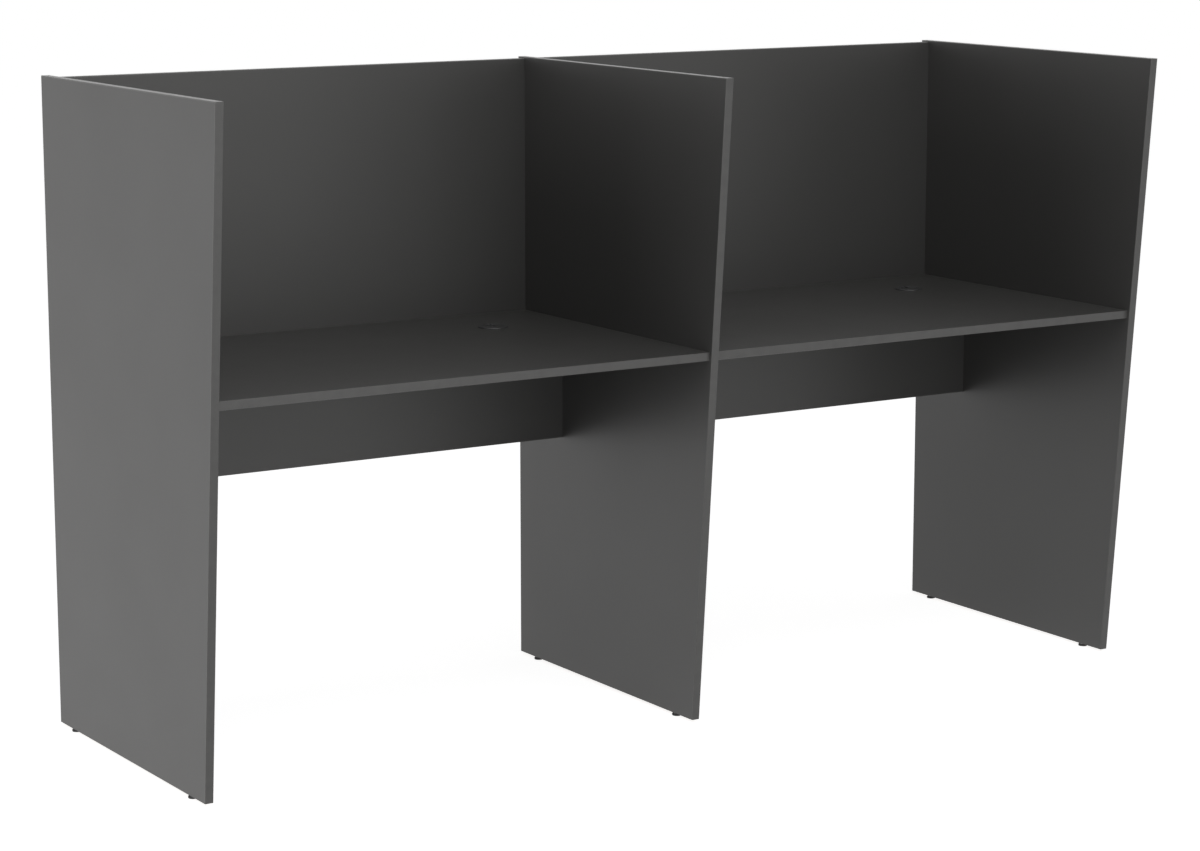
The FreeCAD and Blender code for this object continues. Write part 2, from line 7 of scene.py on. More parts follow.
import bmesh
import bpy
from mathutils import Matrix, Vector


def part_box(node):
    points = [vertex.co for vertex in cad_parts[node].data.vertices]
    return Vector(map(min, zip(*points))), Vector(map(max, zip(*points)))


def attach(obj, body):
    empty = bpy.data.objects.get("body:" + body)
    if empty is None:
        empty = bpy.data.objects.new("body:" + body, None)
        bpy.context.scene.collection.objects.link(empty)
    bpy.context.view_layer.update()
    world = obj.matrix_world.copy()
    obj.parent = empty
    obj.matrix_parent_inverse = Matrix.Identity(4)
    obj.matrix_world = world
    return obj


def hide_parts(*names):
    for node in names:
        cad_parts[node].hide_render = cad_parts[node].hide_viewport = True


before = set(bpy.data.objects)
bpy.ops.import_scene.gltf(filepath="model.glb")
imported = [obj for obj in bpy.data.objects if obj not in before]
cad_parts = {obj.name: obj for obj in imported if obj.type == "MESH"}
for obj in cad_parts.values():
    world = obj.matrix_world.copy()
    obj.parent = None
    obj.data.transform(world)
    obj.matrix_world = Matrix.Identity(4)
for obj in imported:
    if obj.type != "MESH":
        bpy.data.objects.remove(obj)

LOG = logging.getLogger("workstation")
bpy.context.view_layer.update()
MM = 0.001
# Points closer than this are one point
TOUCH = 0.002 * MM
# Directions in an outline, in degrees from outwards
DOWN, OUT, UP = -90.0, 0.0, 90.0

Triple = tuple[float, float, float]
Colour = tuple[float, float, float]
# A range of values and the range that it is mapped to
Fade = tuple[float, float, float, float]
Profile = list[tuple[float, float]]
Node = bpy.types.Node
Socket = bpy.types.NodeSocket
Sockets = dict[str, Socket]
Inputs = dict[str | int, object]
Object = bpy.types.Object
Material = bpy.types.Material
Face = bmesh.types.BMFace
Edge = bmesh.types.BMEdge


class Side(Enum):
    """The three side panels, in order from the sitter's left."""

    LEFT = "left"
    MIDDLE = "middle"
    RIGHT = "right"


class Bay(Enum):
    """The two bays between the side panels."""

    LEFT = "left"
    RIGHT = "right"


class FootEnd(Enum):
    """Where a foot stands under its side panel."""

    FRONT = "front"
    REAR = "rear"


class Slot(Enum):
    """The record's material slots that the new pieces take."""

    GROMMET = "grommet_plastic"
    COVER = "cover_plastic"
    PAD = "foot_plastic"
    STEM = "plated_steel"


class BoardAxis(Enum):
    """The axis that a board's thickness runs along."""

    X = (1.0, 0.0, 0.0)
    Y = (0.0, 1.0, 0.0)
    Z = (0.0, 0.0, 1.0)


class Part(Enum):
    """What is picked on a mesh in edit mode."""

    POINT = "VERT"
    EDGE = "EDGE"
    FACE = "FACE"


class Facing(Enum):
    """The ways that cover caps look, each as the turn about X that takes a cap there from looking up."""

    DOWN = math.pi
    REAR = -math.pi / 2

    @property
    def direction(self) -> Vector:
        """The direction that such a cap looks in."""
        return Vector((0.0, -math.sin(self.value), math.cos(self.value)))


# Shader building blocks

@dataclass(frozen=True)
class Noise:
    """Scale of a noise, its octaves of detail and the strength of the finer octaves."""

    scale: float
    detail: float = 2.0
    rough: float = 0.5


class NodeSheet:
    """A node tree with short ways to add nodes and join them."""

    SWING = (0.3, 0.7)
    MIX_FACTOR, MIX_FIRST, MIX_SECOND, MIX_RESULT = 0, 6, 7, 2

    def __init__(self, tree: bpy.types.NodeTree) -> None:
        """Hold the tree that nodes are added to."""
        self.tree = tree

    def add(self, kind: str, inputs: Inputs | None = None, **settings: object) -> Node:
        """Add a node.

        Args:
            kind: Blender's name of the node type.
            inputs: sockets or values for the node's inputs.
            settings: properties set on the node.

        Returns:
            The new node.
        """
        node = self.tree.nodes.new(kind)
        for name, value in settings.items():
            setattr(node, name, value)
        self.feed(node, inputs or {})
        return node

    def feed(self, node: Node, inputs: Inputs) -> None:
        """Join sockets to a node's inputs, or set the inputs' own values.

        Args:
            node: the node to feed.
            inputs: sockets or values by the input's name or number.
        """
        for name, source in inputs.items():
            if isinstance(source, bpy.types.NodeSocket):
                self.tree.links.new(source, node.inputs[name])
            else:
                node.inputs[name].default_value = source

    def math(self, operation: str, *inputs: object, clamp: bool = False) -> Socket:
        """Work out sockets or numbers with a Math node."""
        node = self.add("ShaderNodeMath", dict(enumerate(inputs)), operation=operation, use_clamp=clamp)
        return node.outputs[0]

    def span(self, value: Socket, fade: Fade) -> Socket:
        """Map a value from one range to another and keep it there."""
        return self.add("ShaderNodeMapRange", dict(enumerate((value, *fade))), clamp=True).outputs[0]

    def mix(self, factor: object, first: object, second: object, blend: str = "MIX") -> Socket:
        """Mix two colours.

        Args:
            factor: socket or number from 0 to 1.
            first: socket or colour at factor 0.
            second: socket or colour at factor 1.
            blend: the blend type.

        Returns:
            The mixed colour.
        """
        inputs = {self.MIX_FACTOR: factor, self.MIX_FIRST: first, self.MIX_SECOND: second}
        node = self.add("ShaderNodeMix", inputs, data_type="RGBA", blend_type=blend)
        return node.outputs[self.MIX_RESULT]

    def noise(self, vector: Socket, grain: Noise, scale: Socket | None = None) -> Socket:
        """Add a noise texture.

        Args:
            vector: coordinates.
            grain: scale and detail of the noise.
            scale: socket that takes the place of the noise's own scale.

        Returns:
            The noise value.
        """
        inputs = {"Vector": vector, "Scale": grain.scale if scale is None else scale,
                  "Detail": grain.detail, "Roughness": grain.rough}
        return self.add("ShaderNodeTexNoise", inputs).outputs[0]

    def swing(self, noise: Socket, reach: float) -> Socket:
        """Turn a noise value into one that swings by a reach to either side of zero."""
        return self.span(noise, (*self.SWING, -reach, reach))

    def shaded(self, colour: Socket, level: Socket) -> Socket:
        """Multiply a colour by a grey level."""
        grey = self.add("ShaderNodeCombineColor", {0: level, 1: level, 2: level})
        return self.mix(1.0, colour, grey.outputs[0], "MULTIPLY")

    def agreement(self, first: Socket, second: Socket) -> Socket:
        """Dot product of two directions."""
        node = self.add("ShaderNodeVectorMath", {0: first, 1: second}, operation="DOT_PRODUCT")
        return node.outputs["Value"]

    def true_normal(self) -> Socket:
        """The direction that a face looks in, unsmoothed."""
        return self.add("ShaderNodeNewGeometry").outputs["True Normal"]

    def object_coordinates(self) -> Socket:
        """The piece's own coordinates."""
        return self.add("ShaderNodeTexCoord").outputs["Object"]

    def stretched(self, vector: Socket, scale: Triple) -> Socket:
        """Stretch coordinates with a Mapping node."""
        return self.add("ShaderNodeMapping", {"Vector": vector, "Scale": scale}).outputs[0]


def rgba(colour: Colour) -> tuple[float, float, float, float]:
    """Colour with full opacity."""
    return (*colour, 1.0)


class EffectGroup:
    """A shader node group that materials share, built the first time that it is asked for.

    Sockets named Colour hold colours, those named Axis hold directions, and the others plain values.
    """

    NAME = ""
    INPUTS: dict[str, object] = {}
    OUTPUTS: tuple[str, ...] = ()
    KINDS = {"Colour": "NodeSocketColor", "Axis": "NodeSocketVector"}
    PLAIN = "NodeSocketFloat"

    @classmethod
    def tree(cls) -> bpy.types.NodeTree:
        """Find the group's node tree, or build it.

        Returns:
            The node tree.
        """
        found = bpy.data.node_groups.get(cls.NAME)
        if found is not None:
            return found
        tree = bpy.data.node_groups.new(cls.NAME, "ShaderNodeTree")
        for name, default in cls.INPUTS.items():
            kind = cls.KINDS.get(name, cls.PLAIN)
            tree.interface.new_socket(name=name, in_out="INPUT", socket_type=kind).default_value = default
        for name in cls.OUTPUTS:
            tree.interface.new_socket(name=name, in_out="OUTPUT", socket_type=cls.KINDS.get(name, cls.PLAIN))
        sheet = NodeSheet(tree)
        given = dict(sheet.add("NodeGroupInput").outputs.items())
        sheet.add("NodeGroupOutput", cls.fill(sheet, given))
        return tree

    @classmethod
    def fill(cls, sheet: NodeSheet, given: Sockets) -> Sockets:
        """Add the group's own nodes, fed by its inputs, and give what it puts out by name."""
        raise NotImplementedError

    @classmethod
    def place(cls, sheet: NodeSheet, inputs: Inputs) -> Sockets:
        """Put the group in a material with its own values, and give the group's outputs by name."""
        return dict(sheet.add("ShaderNodeGroup", inputs, node_tree=cls.tree()).outputs.items())


class PearlTexture(EffectGroup):
    """Fine pearl pressed into a melamine face, over a faint cloudiness of its printed colour."""

    NAME = "pearl_texture"
    INPUTS = {"Colour": (0.1, 0.1, 0.1, 1.0), "Cloud": 0.05, "Roughness": 0.5, "Pearl Scale": 700.0}
    OUTPUTS = ("Colour", "Roughness", "Height")
    CLOUD = Noise(2.3, 3.0)
    SPECK = Noise(260.0, 2.0, 0.6)
    PEARL = Noise(700.0, 1.5, 0.55)
    POLISH = Noise(5.0, 4.0)
    POLISH_SWING = 0.015
    PEARL_SWING = 0.03

    @classmethod
    def fill(cls, sheet: NodeSheet, given: Sockets) -> Sockets:
        """Mix two sizes of cloud into the colour and press the pearl into the height.

        Args:
            sheet: the group's node sheet.
            given: the group's inputs by name.

        Returns:
            Colour, roughness and height.
        """
        where = sheet.object_coordinates()
        clouds = sheet.math("ADD", sheet.noise(where, cls.CLOUD), sheet.noise(where, cls.SPECK))
        cloud = sheet.math("MULTIPLY", sheet.math("SUBTRACT", clouds, 1.0), given["Cloud"])
        pearl = sheet.noise(where, cls.PEARL, given["Pearl Scale"])
        polish = sheet.swing(sheet.noise(where, cls.POLISH), cls.POLISH_SWING)
        gloss = sheet.math("ADD", polish, sheet.swing(pearl, cls.PEARL_SWING))
        return {"Colour": sheet.shaded(given["Colour"], sheet.math("ADD", cloud, 1.0)),
                "Roughness": sheet.math("ADD", given["Roughness"], gloss, clamp=True), "Height": pearl}


@dataclass(frozen=True)
class PaleEdge:
    """Width of the paler edges, scale of the noise that breaks them up, and share of the paler colour; the
    paler edges come partly from rubbing and are partly a painted highlight.
    """

    width: float
    breakup: float
    share: float


class EdgeWearAndHighlight(EffectGroup):
    """Mask of a piece's outer edges, broken up with noise, where the colour is painted paler, partly from
    rubbing and partly as a painted highlight.
    """

    NAME = "edge_wear_and_highlight"
    INPUTS = {"Width": 0.8 * MM, "Breakup": 60.0}
    OUTPUTS = ("Mask",)
    BEVEL_SAMPLES = 4
    EDGE: Fade = (0.995, 0.86, 0.0, 1.0)
    BREAKUP_NOISE = Noise(60.0, 3.0, 0.6)
    BREAKUP_SPAN: Fade = (0.35, 0.65, 0.25, 1.0)

    @classmethod
    def fill(cls, sheet: NodeSheet, given: Sockets) -> Sockets:
        """Compare the rounded normal with the true one, and break the line up with noise.

        Args:
            sheet: the group's node sheet.
            given: the group's inputs by name.

        Returns:
            The mask.
        """
        soft = sheet.add("ShaderNodeBevel", {"Radius": given["Width"]}, samples=cls.BEVEL_SAMPLES)
        edge = sheet.span(sheet.agreement(soft.outputs[0], sheet.true_normal()), cls.EDGE)
        breakup_noise = sheet.noise(sheet.object_coordinates(), cls.BREAKUP_NOISE, given["Breakup"])
        return {"Mask": sheet.math("MULTIPLY", edge, sheet.span(breakup_noise, cls.BREAKUP_SPAN))}

    @classmethod
    def over(cls, sheet: NodeSheet, colour: Socket, worn_and_highlight: Colour, pale_edge: PaleEdge) -> Socket:
        """Paint a colour paler along the edges, partly from rubbing and partly as a painted highlight."""
        # Edges painted paler: partly from rubbing, partly a painted highlight
        mask = cls.place(sheet, {"Width": pale_edge.width, "Breakup": pale_edge.breakup})["Mask"]
        return sheet.mix(sheet.math("MULTIPLY", mask, pale_edge.share), colour, rgba(worn_and_highlight))


class RawCore(EffectGroup):
    """Pressed wood chips of a board's core, with a mask of the faces where the board is cut across."""

    NAME = "raw_core"
    INPUTS = {"Axis": (1.0, 0.0, 0.0)}
    OUTPUTS = ("Colour", "Mask", "Height")
    DEEP_CHIP: Colour = (0.30, 0.19, 0.10)
    PALE_CHIP: Colour = (0.52, 0.37, 0.22)
    BARK: Colour = (0.16, 0.095, 0.05)
    BARK_SHARE: Fade = (0.30, 0.55, 0.65, 0.0)
    CHIP_SCALE = 420.0
    CHIP_STRETCH: Triple = (1.0, 0.6, 1.0)
    FIBRE = Noise(900.0, 3.0, 0.6)
    CUT_ACROSS = 0.5

    @classmethod
    def fill(cls, sheet: NodeSheet, given: Sockets) -> Sockets:
        """Lay out chips of mixed tone, and mask them by the face's direction.

        Args:
            sheet: the group's node sheet.
            given: the group's inputs by name.

        Returns:
            Colour, mask and height.
        """
        where = sheet.object_coordinates()
        inputs = {"Vector": sheet.stretched(where, cls.CHIP_STRETCH), "Scale": cls.CHIP_SCALE}
        chips = sheet.add("ShaderNodeTexVoronoi", inputs).outputs
        fibre = sheet.noise(where, cls.FIBRE)
        body = sheet.mix(chips["Color"], rgba(cls.DEEP_CHIP), rgba(cls.PALE_CHIP))
        along = sheet.math("ABSOLUTE", sheet.agreement(sheet.true_normal(), given["Axis"]))
        return {"Colour": sheet.mix(sheet.span(fibre, cls.BARK_SHARE), body, rgba(cls.BARK)),
                "Mask": sheet.math("LESS_THAN", along, cls.CUT_ACROSS),
                "Height": sheet.math("ADD", chips["Distance"], fibre)}


class SettledDust(EffectGroup):
    """Mask of faint dust that lies on faces turned upwards."""

    NAME = "settled_dust"
    INPUTS = {"Amount": 0.05}
    OUTPUTS = ("Mask",)
    COLOUR: Colour = (0.42, 0.41, 0.39)
    UPWARD: Fade = (0.6, 0.95, 0.0, 1.0)
    DRIFT = Noise(7.0, 4.0)
    DRIFTED: Fade = (0.35, 0.75, 0.1, 1.0)
    GRAIN = Noise(520.0)
    GRAINED: Fade = (0.45, 0.75, 0.3, 1.0)

    @classmethod
    def fill(cls, sheet: NodeSheet, given: Sockets) -> Sockets:
        """Weight two sizes of noise by how far a face looks up.

        Args:
            sheet: the group's node sheet.
            given: the group's inputs by name.

        Returns:
            The mask.
        """
        upward = sheet.add("ShaderNodeSeparateXYZ", {0: sheet.true_normal()}).outputs["Z"]
        where = sheet.object_coordinates()
        drift = sheet.span(sheet.noise(where, cls.DRIFT), cls.DRIFTED)
        grains = sheet.span(sheet.noise(where, cls.GRAIN), cls.GRAINED)
        lying = sheet.math("MULTIPLY", sheet.math("MULTIPLY", drift, grains), sheet.span(upward, cls.UPWARD))
        return {"Mask": sheet.math("MULTIPLY", lying, given["Amount"])}

    @classmethod
    def over(cls, sheet: NodeSheet, colour: Socket, amount: float) -> Socket:
        """Lay an amount of dust over a colour."""
        return sheet.mix(cls.place(sheet, {"Amount": amount})["Mask"], colour, rgba(cls.COLOUR))


class MouldedGrain(EffectGroup):
    """Fine spark-eroded grain of moulded plastic."""

    NAME = "moulded_grain"
    INPUTS = {"Colour": (0.05, 0.05, 0.05, 1.0), "Roughness": 0.4, "Grain Scale": 2600.0}
    OUTPUTS = ("Colour", "Roughness", "Height")
    FLOW = Noise(45.0, 3.0)
    GRAIN = Noise(2600.0, 2.0, 0.6)
    SHADE_SWING = 0.08
    GLOSS_SWING = 0.05

    @classmethod
    def fill(cls, sheet: NodeSheet, given: Sockets) -> Sockets:
        """Vary colour and gloss a little, and grain the height.

        Args:
            sheet: the group's node sheet.
            given: the group's inputs by name.

        Returns:
            Colour, roughness and height.
        """
        where = sheet.object_coordinates()
        flow = sheet.noise(where, cls.FLOW)
        grain = sheet.noise(where, cls.GRAIN, given["Grain Scale"])
        level = sheet.math("ADD", sheet.swing(flow, cls.SHADE_SWING), 1.0)
        gloss = sheet.math("ADD", sheet.swing(flow, cls.GLOSS_SWING), sheet.swing(grain, cls.GLOSS_SWING))
        return {"Colour": sheet.shaded(given["Colour"], level), "Height": grain,
                "Roughness": sheet.math("ADD", given["Roughness"], gloss, clamp=True)}


# Finishes

def new_material(name: str) -> tuple[Material, NodeSheet, Node]:
    """Make a material with nodes.

    Args:
        name: the material's name.

    Returns:
        The material, its node sheet and its Principled BSDF.
    """
    material = bpy.data.materials.new(name)
    material.use_nodes = True
    return material, NodeSheet(material.node_tree), material.node_tree.nodes["Principled BSDF"]


@dataclass(frozen=True, kw_only=True)
class Finish:
    """A material of this object: what every finish has, and the steps that build it."""

    name: str
    specular: float = 0.5
    metallic: float = 0.0
    relief: float = 0.1
    relief_depth: float = 0.1 * MM

    def paint(self, sheet: NodeSheet) -> tuple[Socket, Socket, Socket]:
        """Lay out the surface on the material's node sheet, and give its colour, roughness and height."""
        raise NotImplementedError

    def material(self) -> Material:
        """Build the material.

        Returns:
            The material, painted and embossed.
        """
        material, sheet, shader = new_material(self.name)
        colour, roughness, height = self.paint(sheet)
        inputs = {"Strength": self.relief, "Distance": self.relief_depth, "Height": height}
        bump = sheet.add("ShaderNodeBump", inputs)
        sheet.feed(shader, {"Base Color": colour, "Roughness": roughness, "Normal": bump.outputs[0],
                            "Specular IOR Level": self.specular, "Metallic": self.metallic})
        return material


@dataclass(frozen=True, kw_only=True)
class LaminateFinish(Finish):
    """Melamine-faced board, with raw core where it is cut across."""

    axis: BoardAxis
    colour: Colour = (0.068, 0.067, 0.065)
    roughness: float = 0.42
    specular: float = 0.6
    dust: float = 0.02
    raw_roughness: float = 0.35
    relief: float = 0.12
    relief_depth: float = 0.4 * MM

    def paint(self, sheet: NodeSheet) -> tuple[Socket, Socket, Socket]:
        """Lay dusted pearl over the faces and chips over the cuts.

        Args:
            sheet: the material's node sheet.

        Returns:
            Its colour, roughness and height.
        """
        pearl = PearlTexture.place(sheet, {"Colour": rgba(self.colour), "Roughness": self.roughness})
        core = RawCore.place(sheet, {"Axis": self.axis.value})
        dusted = SettledDust.over(sheet, pearl["Colour"], self.dust)
        raw = sheet.math("MULTIPLY", core["Mask"], self.raw_roughness)
        chips = sheet.math("MULTIPLY", core["Height"], core["Mask"])
        return (sheet.mix(core["Mask"], dusted, core["Colour"]),
                sheet.math("ADD", pearl["Roughness"], raw, clamp=True),
                sheet.math("ADD", pearl["Height"], chips))


@dataclass(frozen=True, kw_only=True)
class MouldedFinish(Finish):
    """Moulded or extruded plastic, painted paler along its edges, partly from rubbing and partly as a
    painted highlight, and lightly dusted.
    """

    colour: Colour
    roughness: float
    worn_and_highlight: Colour = (0.16, 0.16, 0.16)
    pale_edge: PaleEdge = PaleEdge(0.5 * MM, 220.0, 0.45)
    grain_scale: float = 2600.0
    dust: float = 0.05
    relief: float = 0.15

    def paint(self, sheet: NodeSheet) -> tuple[Socket, Socket, Socket]:
        """Lay out the grain, paint its edges paler, partly from rubbing and partly as a painted highlight,
        and dust it.

        Args:
            sheet: the material's node sheet.

        Returns:
            Its colour, roughness and height.
        """
        grain = MouldedGrain.place(sheet, {"Colour": rgba(self.colour), "Roughness": self.roughness,
                                           "Grain Scale": self.grain_scale})
        # Edges painted paler: partly from rubbing, partly a painted highlight
        rubbed_and_highlight = EdgeWearAndHighlight.over(sheet, grain["Colour"], self.worn_and_highlight, self.pale_edge)
        return SettledDust.over(sheet, rubbed_and_highlight, self.dust), grain["Roughness"], grain["Height"]


@dataclass(frozen=True, kw_only=True)
class PlatedFinish(Finish):
    """Bare or zinc-plated metal with drawn or cast marks."""

    colour: Colour
    roughness: float
    metallic: float = 1.0
    dulled: Colour = (0.30, 0.30, 0.29)
    rubbed_and_highlight: Colour = (0.74, 0.74, 0.73)
    pale_edge: PaleEdge = PaleEdge(0.3 * MM, 400.0, 0.6)
    streaks: Triple = (300.0, 300.0, 1800.0)
    drawn: Noise = Noise(1.0, 3.0, 0.6)
    drawn_swing: float = 0.08
    bloom: Noise = Noise(160.0, 4.0, 0.55)
    bloom_share: Fade = (0.4, 0.7, 0.0, 0.5)
    bloom_roughness: Fade = (0.4, 0.7, 0.0, 0.12)

    def paint(self, sheet: NodeSheet) -> tuple[Socket, Socket, Socket]:
        """Lay out drawn marks and a dull bloom, and paint the edges bright, partly from rubbing and partly
        as a painted highlight.

        Args:
            sheet: the material's node sheet.

        Returns:
            Its colour, roughness and height.
        """
        where = sheet.object_coordinates()
        drawn = sheet.noise(sheet.stretched(where, self.streaks), self.drawn)
        bloom = sheet.noise(where, self.bloom)
        dull = sheet.mix(sheet.span(bloom, self.bloom_share), rgba(self.colour), rgba(self.dulled))
        marks = sheet.swing(drawn, self.drawn_swing)
        gloss = sheet.math("ADD", marks, sheet.span(bloom, self.bloom_roughness))
        # Edges painted brighter: partly from rubbing, partly a painted highlight
        return (EdgeWearAndHighlight.over(sheet, dull, self.rubbed_and_highlight, self.pale_edge),
                sheet.math("ADD", gloss, self.roughness, clamp=True), drawn)


@dataclass(frozen=True, kw_only=True)
class TimberFinish(Finish):
    """Raw turned wood with its rays."""

    light: Colour = (0.58, 0.40, 0.235)
    dark: Colour = (0.36, 0.215, 0.105)
    pale_edge: PaleEdge = PaleEdge(0.5 * MM, 300.0, 1.0)
    stretch: Triple = (60.0, 900.0, 900.0)
    fibre: Noise = Noise(1.0, 4.0, 0.6)
    dark_share: Fade = (0.35, 0.65, 0.0, 1.0)
    fibre_roughness: Fade = (0.3, 0.7, 0.6, 0.8)
    relief: float = 0.25

    def paint(self, sheet: NodeSheet) -> tuple[Socket, Socket, Socket]:
        """Lay out the fibres and paint the edges pale, partly from rubbing and partly as a painted
        highlight.

        Args:
            sheet: the material's node sheet.

        Returns:
            Its colour, roughness and height.
        """
        fibre = sheet.noise(sheet.stretched(sheet.object_coordinates(), self.stretch), self.fibre)
        wood = sheet.mix(sheet.span(fibre, self.dark_share), rgba(self.light), rgba(self.dark))
        # Edges painted paler: partly from rubbing, partly a painted highlight
        pale = EdgeWearAndHighlight.over(sheet, wood, self.light, self.pale_edge)
        return pale, sheet.span(fibre, self.fibre_roughness), fibre


class Palette:
    """The finishes of this object, each built once."""

    def __init__(self) -> None:
        """Build every finish."""
        self.side_board = LaminateFinish(name="laminate_side", axis=BoardAxis.X).material()
        self.flat_board = LaminateFinish(name="laminate_worktop", axis=BoardAxis.Z, roughness=0.36,
                                         specular=0.4).material()
        self.upright_board = LaminateFinish(name="laminate_upright", axis=BoardAxis.Y).material()
        # The edging is painted much paler along a wider band of its edges: partly from rubbing, partly a
        # painted highlight
        self.edging = MouldedFinish(name="edging_strip", colour=(0.105, 0.104, 0.101), roughness=0.36,
                                    worn_and_highlight=(0.26, 0.256, 0.245), pale_edge=PaleEdge(1.0 * MM, 55.0, 0.4), specular=0.55,
                                    grain_scale=1500.0, relief=0.08, relief_depth=0.2 * MM).material()
        self.grommet = MouldedFinish(name="grommet_plastic", colour=(0.056, 0.056, 0.057),
                                     roughness=0.34).material()
        self.cover = MouldedFinish(name="cover_plastic", colour=(0.078, 0.077, 0.075),
                                   roughness=0.42).material()
        self.pad = MouldedFinish(name="foot_plastic", colour=(0.030, 0.030, 0.031), roughness=0.5,
                                 worn_and_highlight=(0.12, 0.12, 0.12)).material()
        self.steel = PlatedFinish(name="plated_steel", colour=(0.56, 0.56, 0.57), roughness=0.32).material()
        self.zinc = PlatedFinish(name="cast_zinc", colour=(0.43, 0.43, 0.45), roughness=0.46,
                                 streaks=(500.0, 500.0, 500.0)).material()
        self.beech = TimberFinish(name="beech").material()


def dress(obj: Object, material: Material) -> None:
    """Give a piece one material in place of what it has."""
    obj.data.materials.clear()
    obj.data.materials.append(material)


# Modelling by hand

def middle_at(node: str, height: float) -> Vector:
    """Middle of a CAD node's box, seen from above, at a height."""
    low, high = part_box(node)
    return Vector(((low.x + high.x) / 2, (low.y + high.y) / 2, height))


class Bench:
    """Modelling steps that the sub-assemblies share, done with Blender's own operators."""

    ORIGIN: Triple = (0.0, 0.0, 0.0)
    UPWARDS: Triple = (0.0, 0.0, 1.0)
    SMOOTH_DEGREES = 35.0
    UPRIGHT = 0.1
    LEVEL = 0.9

    @staticmethod
    def is_upright(face: Face) -> bool:
        """Whether a face stands upright."""
        return abs(face.normal.z) < Bench.UPRIGHT

    @staticmethod
    def is_level(face: Face) -> bool:
        """Whether a face lies level."""
        return abs(face.normal.z) > Bench.LEVEL

    @staticmethod
    def clear() -> None:
        """Leave edit mode and deselect everything."""
        if bpy.context.object is not None and bpy.context.object.mode != "OBJECT":
            bpy.ops.object.mode_set(mode="OBJECT")
        bpy.ops.object.select_all(action="DESELECT")

    @staticmethod
    def take(*pieces: Object) -> None:
        """Select pieces alone, with the first of them active.

        Args:
            pieces: the pieces.
        """
        Bench.clear()
        for piece in pieces:
            piece.select_set(True)
        bpy.context.view_layer.objects.active = pieces[0]

    @staticmethod
    def open(obj: Object, part: Part = Part.FACE) -> None:
        """Enter edit mode on one piece with all of it selected.

        Args:
            obj: the piece to edit.
            part: what is picked on it.
        """
        Bench.take(obj)
        bpy.ops.object.mode_set(mode="EDIT")
        bpy.ops.mesh.select_mode(type=part.value)
        bpy.ops.mesh.select_all(action="SELECT")

    @staticmethod
    def pick(obj: Object, part: Part, wanted: Callable[[Face | Edge], bool]) -> None:
        """Select the faces or edges of a piece in edit mode that a test picks, and nothing else.

        Args:
            obj: the piece in edit mode.
            part: whether faces or edges are picked.
            wanted: the test.
        """
        bpy.ops.mesh.select_mode(type=part.value)
        bpy.ops.mesh.select_all(action="DESELECT")
        mesh = bmesh.from_edit_mesh(obj.data)
        for found in [found for found in (mesh.edges if part is Part.EDGE else mesh.faces) if wanted(found)]:
            found.select_set(True)
        bmesh.update_edit_mesh(obj.data)

    @staticmethod
    def merge() -> None:
        """Merge the doubles of the piece in edit mode and turn its faces outwards."""
        bpy.ops.mesh.select_all(action="SELECT")
        bpy.ops.mesh.remove_doubles(threshold=TOUCH)
        bpy.ops.mesh.normals_make_consistent(inside=False)

    @staticmethod
    def close(obj: Object, smooth_degrees: float = SMOOTH_DEGREES) -> Object:
        """Clean a piece's mesh, leave edit mode and shade it smooth up to an angle.

        Args:
            obj: the piece in edit mode.
            smooth_degrees: steepest angle between faces that is shaded smooth.

        Returns:
            The piece.
        """
        Bench.merge()
        bpy.ops.object.mode_set(mode="OBJECT")
        bpy.ops.object.shade_smooth_by_angle(angle=math.radians(smooth_degrees))
        return obj

    @staticmethod
    def outline(name: str, profile: Profile) -> Object:
        """Draw an outline in the plane Y = 0 by extruding a point along it.

        Args:
            name: the piece's name.
            profile: (radius, height) pairs.

        Returns:
            The piece, left in edit mode with all of it selected.
        """
        Bench.clear()
        bpy.ops.mesh.primitive_plane_add(size=1.0, location=Bench.ORIGIN)
        obj = bpy.context.object
        obj.name = name
        Bench.open(obj, Part.POINT)
        bpy.ops.mesh.merge(type="CENTER")
        radius, height = profile[0]
        bpy.ops.transform.translate(value=(radius, 0.0, height))
        for (radius, height), (next_radius, next_height) in zip(profile, profile[1:]):
            step = (next_radius - radius, 0.0, next_height - height)
            bpy.ops.mesh.extrude_vertices_move(TRANSFORM_OT_translate={"value": step})
        bpy.ops.mesh.select_all(action="SELECT")
        return obj

    @staticmethod
    def turned(name: str, profile: Profile, steps: int) -> Object:
        """Turn an outline about the Z axis.

        Args:
            name: the piece's name.
            profile: (radius, height) pairs, open or closed.
            steps: faces around.

        Returns:
            The piece, left in edit mode with clean outward normals.
        """
        obj = Bench.outline(name, profile)
        bpy.ops.mesh.spin(steps=steps, angle=math.tau, center=Bench.ORIGIN, axis=Bench.UPWARDS)
        Bench.merge()
        return obj

    @staticmethod
    def bar(sides: int, radius: float, length: float, centre: Triple) -> Object:
        """Start a piece from an upright bar.

        Args:
            sides: faces around.
            radius: distance from the axis to the corners.
            length: height of the bar.
            centre: its middle.

        Returns:
            The bar, left in edit mode with all of it selected.
        """
        Bench.clear()
        bpy.ops.mesh.primitive_cylinder_add(vertices=sides, radius=radius, depth=length, location=centre)
        obj = bpy.context.object
        bpy.ops.object.transform_apply(location=True, rotation=True, scale=True)
        Bench.open(obj)
        return obj

    @staticmethod
    def rounded_corner(centre: tuple[float, float], radius: float, start: float, end: float,
                       steps: int) -> Profile:
        """Points of a round corner in an outline.

        Args:
            centre: (radius, height) of the corner's centre.
            radius: the corner's own radius.
            start: first angle in degrees, from the outward direction towards up.
            end: last angle in degrees.
            steps: spans along the corner.

        Returns:
            The corner's points.
        """
        angles = [math.radians(start + (end - start) * step / steps) for step in range(steps + 1)]
        return [(centre[0] + radius * math.cos(angle), centre[1] + radius * math.sin(angle))
                for angle in angles]

